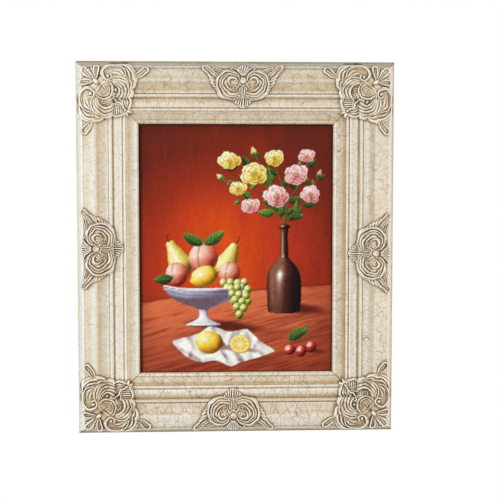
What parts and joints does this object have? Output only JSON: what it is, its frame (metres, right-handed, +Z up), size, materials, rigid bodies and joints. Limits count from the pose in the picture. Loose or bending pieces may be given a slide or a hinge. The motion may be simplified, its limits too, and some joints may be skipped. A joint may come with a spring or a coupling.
{
  "type": "framed oil painting",
  "caption": "Portrait-format oil painting on stretched canvas in a wide ivory crackle-finish frame with cast scroll ornaments at the corners and mid-rails.",
  "frame": {"origin": "centre of the hanger's rear face, where the frame meets the wall, 24 mm below the frame's top edge", "axes": "+Z up along the frame's height, +X to the viewer's right, -Y out of the wall towards the viewer; +Y is the rear face's normal"},
  "size_m": [0.4386, 0.04, 0.5146],
  "materials": {
    "moulding": "ivory paint with a satin crackle glaze and brown toning in the lines",
    "cast_ornament": "cast composition, ivory paint with brown toning in the hollows",
    "painted_canvas": "oil paint under satin varnish, bare primed weave at the back",
    "stretcher_wood": "bare planed pine",
    "hanger_metal": "brass-plated strip",
    "plate_metal": "zinc-plated strip",
    "screw_metal": "brass-plated screws"
  },
  "bodies": {
    "root": {"top_rail": "moulding", "right_rail": "moulding", "bottom_rail": "moulding", "left_rail": "moulding", "corner_ornament_top_left": "cast_ornament", "corner_ornament_top_right": "cast_ornament", "corner_ornament_bottom_right": "cast_ornament", "corner_ornament_bottom_left": "cast_ornament", "centre_ornament_top": "cast_ornament", "centre_ornament_right": "cast_ornament", "centre_ornament_bottom": "cast_ornament", "centre_ornament_left": "cast_ornament", "canvas": "painted_canvas", "stretcher_bar_top": "stretcher_wood", "stretcher_bar_right": "stretcher_wood", "stretcher_bar_bottom": "stretcher_wood", "stretcher_bar_left": "stretcher_wood", "hanger": "hanger_metal", "retaining_plate_top": "plate_metal", "retaining_plate_right": "plate_metal", "retaining_plate_bottom": "plate_metal", "retaining_plate_left": "plate_metal", "hanger_screw_left": "screw_metal", "hanger_screw_right": "screw_metal", "plate_screw_top": "screw_metal", "plate_screw_right": "screw_metal", "plate_screw_bottom": "screw_metal", "plate_screw_left": "screw_metal"}
  },
  "joints": []
}
